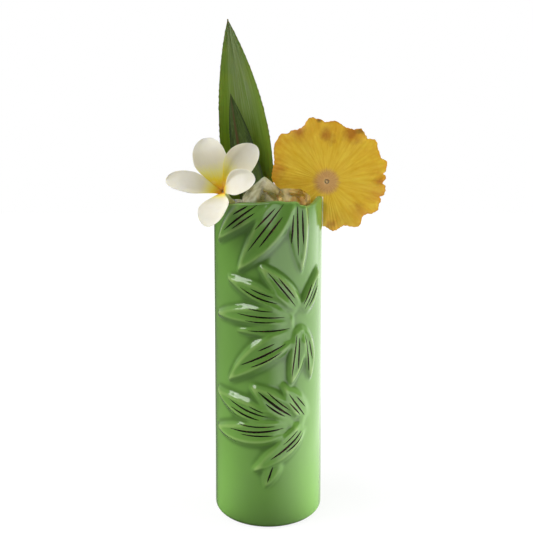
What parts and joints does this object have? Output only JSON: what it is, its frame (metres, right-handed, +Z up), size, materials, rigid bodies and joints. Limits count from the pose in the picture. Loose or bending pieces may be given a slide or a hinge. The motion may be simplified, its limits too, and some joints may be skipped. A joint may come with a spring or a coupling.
{
  "type": "dressed tiki mug",
  "caption": "Tall green glazed cocktail mug with raised leaf sprays, served with loose ice, pineapple leaves, a plumeria flower and a dried pineapple wheel on the rim.",
  "frame": {"origin": "centre of the mug's flat underside, on the surface it stands on", "axes": "+Z up along the mug's axis, -Y towards the front, +X towards the side that carries the pineapple wheel"},
  "size_m": [0.1269, 0.0768, 0.297],
  "materials": {
    "glaze": "clear gloss celadon green glaze, darker where it pools, with hand-painted dark metallic lustre strokes",
    "ice": "clear to cloudy melting ice, wet and glossy",
    "leaf": "fresh waxy leaf with fine lengthwise ribs",
    "leaf_dark": "fresh waxy dark leaf with a brown midrib",
    "petal": "soft matt petal, creamy white with a yellow throat",
    "fruit": "dried fruit, wrinkled and slightly translucent, browned at the edge"
  },
  "bodies": {
    "mug": {"mug_body": "glaze"},
    "ice": {"ice_cube_1": "ice", "ice_cube_2": "ice", "ice_cube_3": "ice", "ice_cube_4": "ice", "ice_cube_5": "ice", "ice_cube_6": "ice", "ice_cube_7": "ice", "ice_cube_8": "ice"},
    "leaf_large": {"pineapple_leaf_large": "leaf"},
    "leaf_small": {"pineapple_leaf_small": "leaf_dark"},
    "flower": {"plumeria_flower": "petal"},
    "wheel": {"pineapple_wheel": "fruit"}
  },
  "joints": [
    {"name": "ice_lift", "type": "slide", "parent": "mug", "child": "ice", "axis": [0, 0, 1], "range_m": [0, 0.06]},
    {"name": "leaf_large_pull", "type": "slide", "parent": "ice", "child": "leaf_large", "axis": [-0.09, 0.03, 0.9955], "range_m": [0, 0.07]},
    {"name": "leaf_small_pull", "type": "slide", "parent": "ice", "child": "leaf_small", "axis": [-0.18, 0.01, 0.9836], "range_m": [0, 0.055]},
    {"name": "flower_pull", "type": "slide", "parent": "ice", "child": "flower", "axis": [-0.2832, -0.8598, 0.4248], "range_m": [0, 0.035]},
    {"name": "wheel_lift", "type": "slide", "parent": "mug", "child": "wheel", "axis": [0, 0, 1], "range_m": [0, 0.04]}
  ]
}
